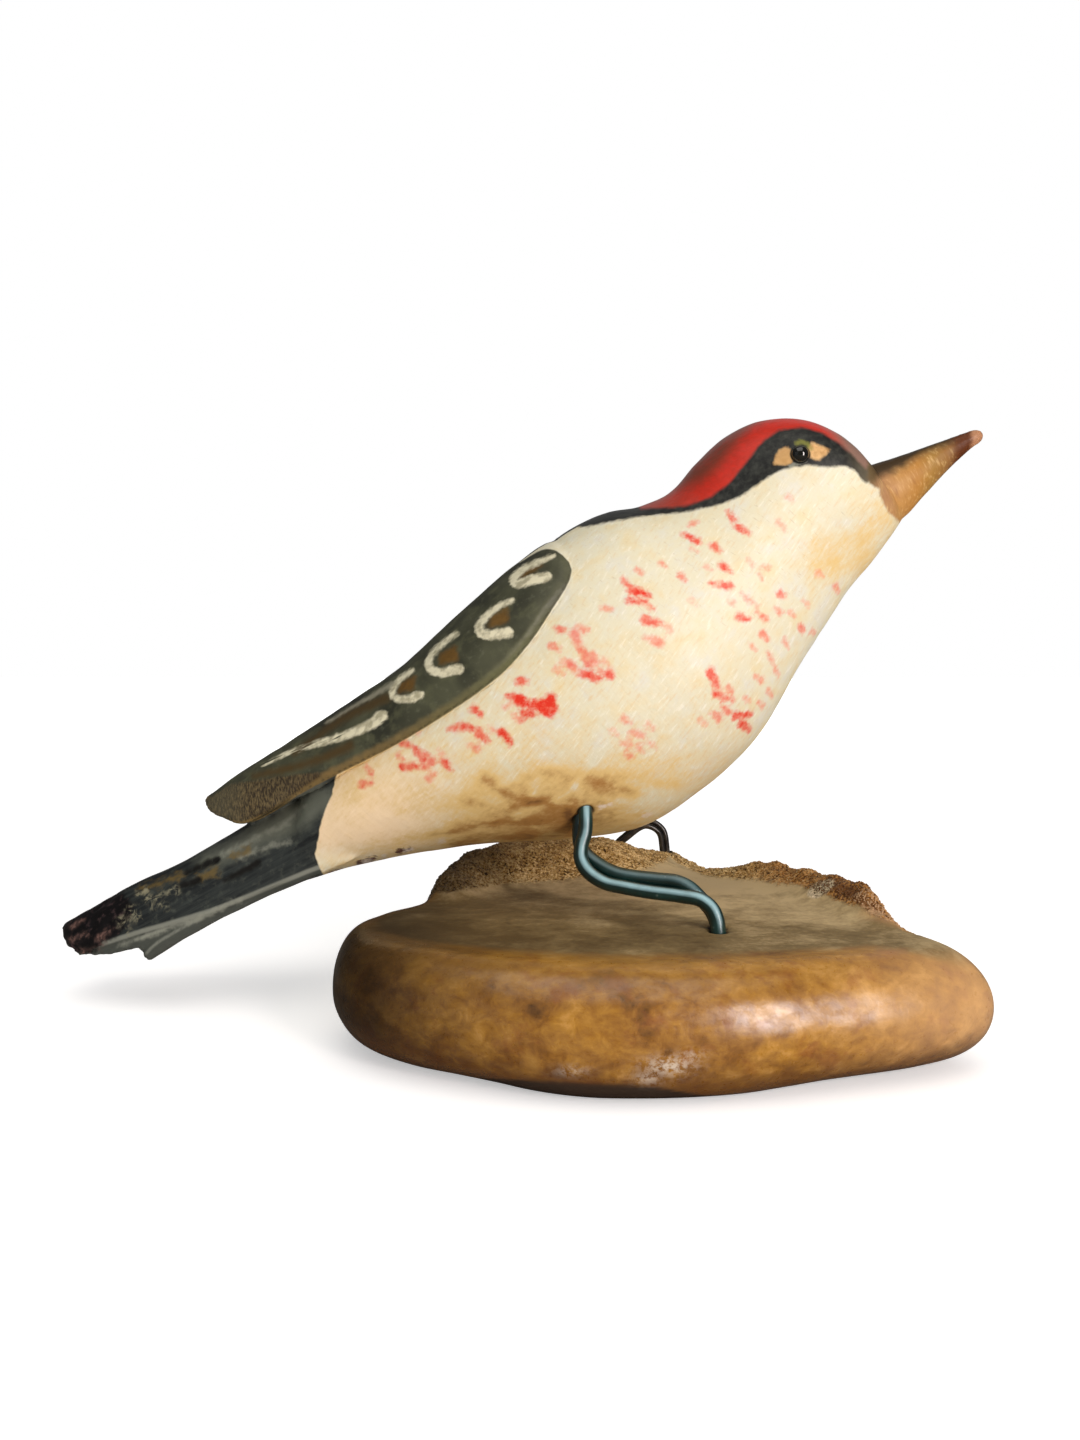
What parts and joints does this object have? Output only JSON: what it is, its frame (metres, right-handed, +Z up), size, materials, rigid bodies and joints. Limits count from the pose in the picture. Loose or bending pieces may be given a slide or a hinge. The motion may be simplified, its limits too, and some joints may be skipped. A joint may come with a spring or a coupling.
{
  "type": "carved wooden bird",
  "caption": "Hand-carved, painted wooden woodpecker leaning forward on wire legs over a rounded burl slab; stands by its own weight.",
  "frame": {"origin": "on the flat underside of the slab, on the bird's middle plane, 68.8 mm behind the bill tip and 76 mm in front of the tail tip", "axes": "+X the way the bird faces, +Y towards its left side, +Z up"},
  "size_m": [0.1448, 0.0762, 0.09],
  "materials": {
    "painted_wood": "hand-painted carved wood under old warm varnish: cream flanks with red dabs, charcoal mask and tail, red cap, olive wings, stained bill",
    "eye_bead": "glossy black glass-like bead",
    "green_wire": "doubled wire with a glossy dark teal coat",
    "grey_wire": "doubled wire with a glossy dark grey coat",
    "burl": "varnished mottled burl, polished roll in front, raw grain at the broken back edge"
  },
  "bodies": {
    "root": {"bird": "painted_wood", "eye_right": "eye_bead", "eye_left": "eye_bead", "leg_wire_right": "green_wire", "leg_wire_left": "grey_wire", "base": "burl"}
  },
  "joints": []
}
